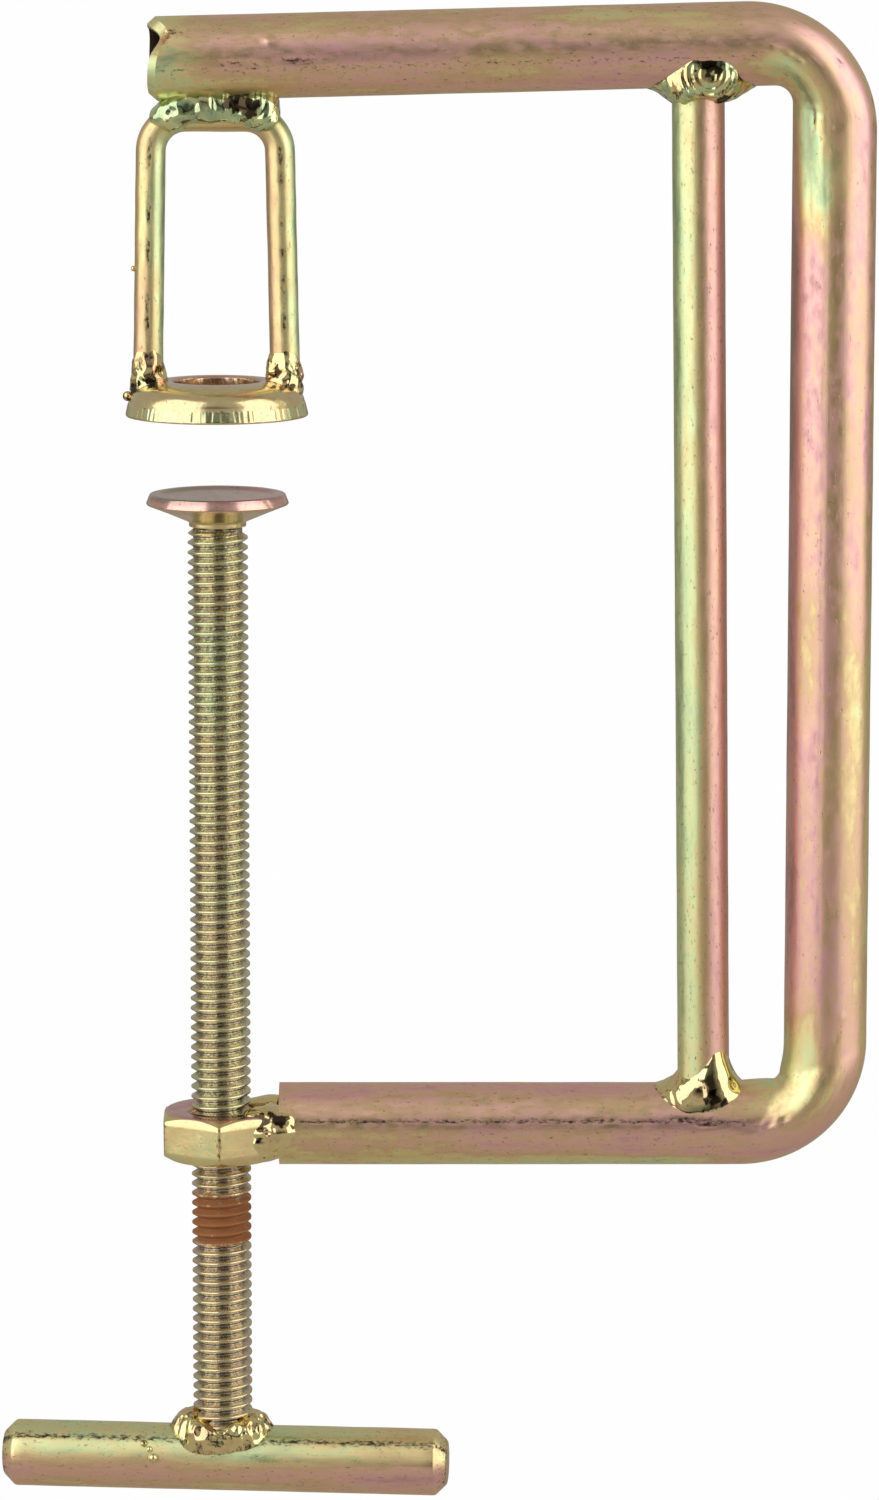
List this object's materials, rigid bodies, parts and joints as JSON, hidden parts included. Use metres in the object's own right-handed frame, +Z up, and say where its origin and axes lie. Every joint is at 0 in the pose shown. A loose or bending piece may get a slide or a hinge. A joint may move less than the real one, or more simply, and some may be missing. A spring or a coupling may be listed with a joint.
{
  "type": "c clamp with caged ring jaw",
  "caption": "Bent-tube C clamp: a caged ring on the upper arm, and a screw with a cross bar that pushes a disc towards it.",
  "frame": {"origin": "centre of the ring jaw's lower face, on the screw's axis", "axes": "+Z up the screw's axis from the cross bar to the ring; the frame lies in the XZ plane with its back at +X; -Y is the side seen in the picture"},
  "size_m": [0.1385, 0.0286, 0.2382],
  "materials": {
    "tube_zinc": "satin yellow-passivated zinc, mottled pink, olive and gold",
    "rod_zinc": "brighter yellow-green passivated zinc on drawn rod",
    "jaw_zinc": "satin khaki-gold passivated zinc",
    "nut_zinc": "smooth gold passivated zinc",
    "screw_zinc": "golden brown passivated thread with a rusty stretch",
    "bar_zinc": "satin tan and olive passivated zinc",
    "bead_zinc": "glossy passivated weld metal"
  },
  "bodies": {
    "frame": {"frame_tube": "tube_zinc", "brace_rod": "rod_zinc", "cage_yoke": "rod_zinc", "jaw_ring": "jaw_zinc", "spindle_nut": "nut_zinc", "weld_brace_top": "bead_zinc", "weld_brace_bottom": "bead_zinc", "weld_yoke_front": "bead_zinc", "weld_yoke_back": "bead_zinc", "weld_leg_left": "bead_zinc", "weld_leg_right": "bead_zinc", "weld_nut_front": "bead_zinc", "weld_nut_back": "bead_zinc"},
    "disc": {"pressure_disc": "jaw_zinc"},
    "spindle": {"spindle_screw": "screw_zinc", "handle_bar": "bar_zinc", "weld_handle": "bead_zinc"}
  },
  "joints": [
    {"name": "screw_travel", "type": "slide", "parent": "frame", "child": "disc", "axis": [0, 0, 1], "range_m": [-0.0915, 0.0134]},
    {"name": "screw_turn", "type": "hinge", "parent": "disc", "child": "spindle", "pos_m": [0, 0, -0.1], "axis": [0, 0, 1], "range_deg": [-20700, 3030]}
  ],
  "couplings": [
    {"joint": "screw_travel", "follows": "screw_turn", "m_per_rad": 0.00025266}
  ]
}
